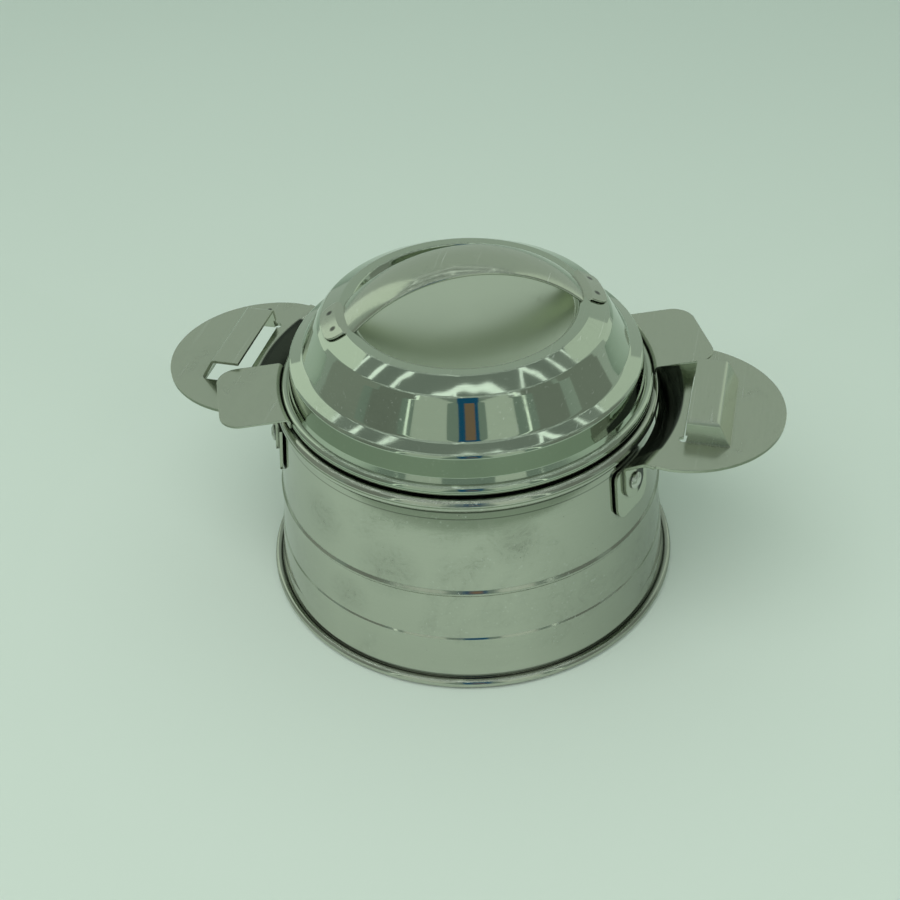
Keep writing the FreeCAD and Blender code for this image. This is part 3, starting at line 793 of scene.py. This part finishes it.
# Tall windows and curtains all round the viewer's side, seen only in the polished steel
CAMERA_SIDE = 15.0
windows = [
    ("window_far_left", -130, 22, 0.95),
    ("curtain_left", -92, 34, 0.34),
    ("wall_left", -58, 24, 0.26),
    ("frame_left", -41, 1.6, 1.5),
    ("window_left", -26, 23, 0.62),
    ("window_right", 22, 20, 0.66),
    ("frame_right", 40, 1.6, 1.5),
    ("wall_right", 57, 22, 0.28),
    ("curtain_right", 90, 30, 0.30),
    ("window_far_right", 128, 20, 0.80),
]
WINDOW_RISE = 24
WINDOW_AWAY = 2.4
WINDOW_HEIGHT = 2.1
WINDOW_SHARE = 0.93
WINDOW_TINT = (0.86, 1.0, 0.86)
for name, azimuth, spread, strength in windows:
    width = 2 * WINDOW_AWAY * math.tan(math.radians(spread / 2)) * WINDOW_SHARE
    side = CAMERA_SIDE + azimuth
    glossy_only(panel(name, side, WINDOW_RISE, WINDOW_AWAY, width, WINDOW_HEIGHT, strength, WINDOW_TINT))
glossy_only(panel("blue_board", CAMERA_SIDE, 30, 2.3, 0.50, 1.9, 1.0, (0.012, 0.10, 0.21)))
glossy_only(panel("warm_board", CAMERA_SIDE + 1, 24, 2.2, 0.24, 0.5, 1.0, (0.25, 0.17, 0.11)))


def ceiling_glow():
    """A dim ceiling with rows of bright fittings."""
    n = Nodes("ceiling_rows")
    rows = n.add("ShaderNodeTexBrick")
    sway = n.add("ShaderNodeVectorMath", operation="MULTIPLY_ADD")
    wander = n.add("ShaderNodeTexNoise")
    wander.inputs["Scale"].default_value = 1.3
    n.join(n.coords, wander.inputs["Vector"])
    n.join(wander.outputs["Color"], sway.inputs[0])
    sway.inputs[1].default_value = (0.35, 0.35, 0.0)
    n.join(n.coords, sway.inputs[2])
    n.join(sway.outputs[0], rows.inputs["Vector"])
    rows.inputs["Scale"].default_value = 1.0
    rows.inputs["Mortar Size"].default_value = 0.035
    rows.inputs["Mortar Smooth"].default_value = 0.1
    rows.inputs["Brick Width"].default_value = 2.3
    rows.inputs["Row Height"].default_value = 0.42
    rows.inputs["Color1"].default_value = (0.24, 0.29, 0.26, 1)
    rows.inputs["Color2"].default_value = (0.36, 0.42, 0.38, 1)
    rows.inputs["Mortar"].default_value = (1.5, 1.7, 1.6, 1)
    glow = n.add("ShaderNodeEmission")
    n.join(rows.outputs["Color"], glow.inputs["Color"])
    glow.inputs["Strength"].default_value = 0.9
    n.join(glow.outputs[0], n.tree.nodes["Material Output"].inputs["Surface"])
    n.tree.nodes.remove(n.shader)
    return n.material


ceiling = panel("ceiling", CAMERA_SIDE, 89, 2.5, 5.0, 4.2, 1.0)
ceiling.data.materials.clear()
ceiling.data.materials.append(ceiling_glow())
glossy_only(ceiling)

# Dark card on the floor, seen only in reflections, that paints a darker reflection in the lid's upright
# band; in metres and degrees
DARK_CARD_INNER = 0.187
DARK_CARD_OUTER = 0.40
DARK_CARD_Z = 0.0006
DARK_CARD_STEPS = 48
DARK_CARD_SPREAD = 132


def dark_reflection_card():
    """A dark card on the floor, seen only in reflections such as the lid's upright band: a painted dark
    reflection.
    """
    mesh = bpy.data.meshes.new("dark_reflection_card")
    inner = []
    outer = []
    count = DARK_CARD_STEPS + 1
    for k in range(count):
        turn = DARK_CARD_SPREAD * (2 * k / DARK_CARD_STEPS - 1)
        a = math.radians(CAMERA_SIDE + turn)
        inner.append((math.sin(a) * DARK_CARD_INNER, -math.cos(a) * DARK_CARD_INNER, DARK_CARD_Z))
        outer.append((math.sin(a) * DARK_CARD_OUTER, -math.cos(a) * DARK_CARD_OUTER, DARK_CARD_Z))
    faces = [(k, k + 1, count + k + 1, count + k) for k in range(DARK_CARD_STEPS)]
    mesh.from_pydata(inner + outer, [], faces)
    obj = bpy.data.objects.new("dark_reflection_card", mesh)
    bpy.context.scene.collection.objects.link(obj)
    material = bpy.data.materials.new("dark_reflection_card")
    material.use_nodes = True
    material.node_tree.nodes["Principled BSDF"].inputs["Base Color"].default_value = (0.35, 0.43, 0.345, 1)
    dress(obj, material)
    return obj


glossy_only(dark_reflection_card())


def lamp(name, place, width, height, energy):
    """A soft light aimed at the pot, not seen in the steel."""
    data = bpy.data.lights.new(name, "AREA")
    data.shape = "RECTANGLE"
    data.size = width
    data.size_y = height
    data.energy = energy
    data.color = (0.99, 1.0, 0.98)
    obj = bpy.data.objects.new(name, data)
    bpy.context.scene.collection.objects.link(obj)
    obj.location = place
    obj.rotation_euler = (Vector((0, 0, 0.05)) - obj.location).to_track_quat("-Z", "Y").to_euler()
    obj.visible_glossy = False


lamp("overhead", (-0.38, -0.95, 1.9), 2.3, 1.9, 20.0)
lamp("fill", (0.95, -1.25, 1.3), 1.4, 1.0, 4.7)

# World: an even pale room, a little darker on the viewer's side
world = bpy.data.worlds.new("room")
bpy.context.scene.world = world
world.use_nodes = True
tree = world.node_tree
tree.nodes.clear()
coords = tree.nodes.new("ShaderNodeTexCoord")
split = tree.nodes.new("ShaderNodeSeparateXYZ")
ramp = tree.nodes.new("ShaderNodeMapRange")
mixer = tree.nodes.new("ShaderNodeMix")
mixer.data_type = "RGBA"
back = tree.nodes.new("ShaderNodeBackground")
out = tree.nodes.new("ShaderNodeOutputWorld")
tree.links.new(coords.outputs["Generated"], split.inputs[0])
tree.links.new(split.outputs["Y"], ramp.inputs["Value"])
ramp.inputs["From Min"].default_value = -0.6
ramp.inputs["From Max"].default_value = 0.6
tree.links.new(ramp.outputs[0], mixer.inputs[0])
mixer.inputs[6].default_value = (0.24, 0.315, 0.27, 1)
mixer.inputs[7].default_value = (0.46, 0.545, 0.48, 1)
tree.links.new(mixer.outputs[2], back.inputs["Color"])
back.inputs["Strength"].default_value = 1.0
tree.links.new(back.outputs[0], out.inputs["Surface"])

# Camera
yaw = math.radians(CAMERA_YAW)
pitch = math.radians(CAMERA_PITCH)
roll = math.radians(CAMERA_ROLL)
forward = Vector((math.sin(yaw) * math.cos(pitch), math.cos(yaw) * math.cos(pitch), -math.sin(pitch)))
level = Vector((math.cos(yaw), -math.sin(yaw), 0))
down = forward.cross(level)
right = level * math.cos(roll) + down * math.sin(roll)
below = down * math.cos(roll) - level * math.sin(roll)
camera_data = bpy.data.cameras.new("camera")
camera_data.lens = CAMERA_LENS
camera_data.sensor_width = 36.0
camera_data.clip_start = 0.01
camera_data.clip_end = 50.0
camera = bpy.data.objects.new("camera", camera_data)
bpy.context.scene.collection.objects.link(camera)
turn = Matrix((right, -below, -forward)).transposed()
camera.matrix_world = Matrix.Translation(CAMERA_PLACE) @ turn.to_4x4()
bpy.context.scene.camera = camera
bpy.context.scene.view_settings.view_transform = "Standard"
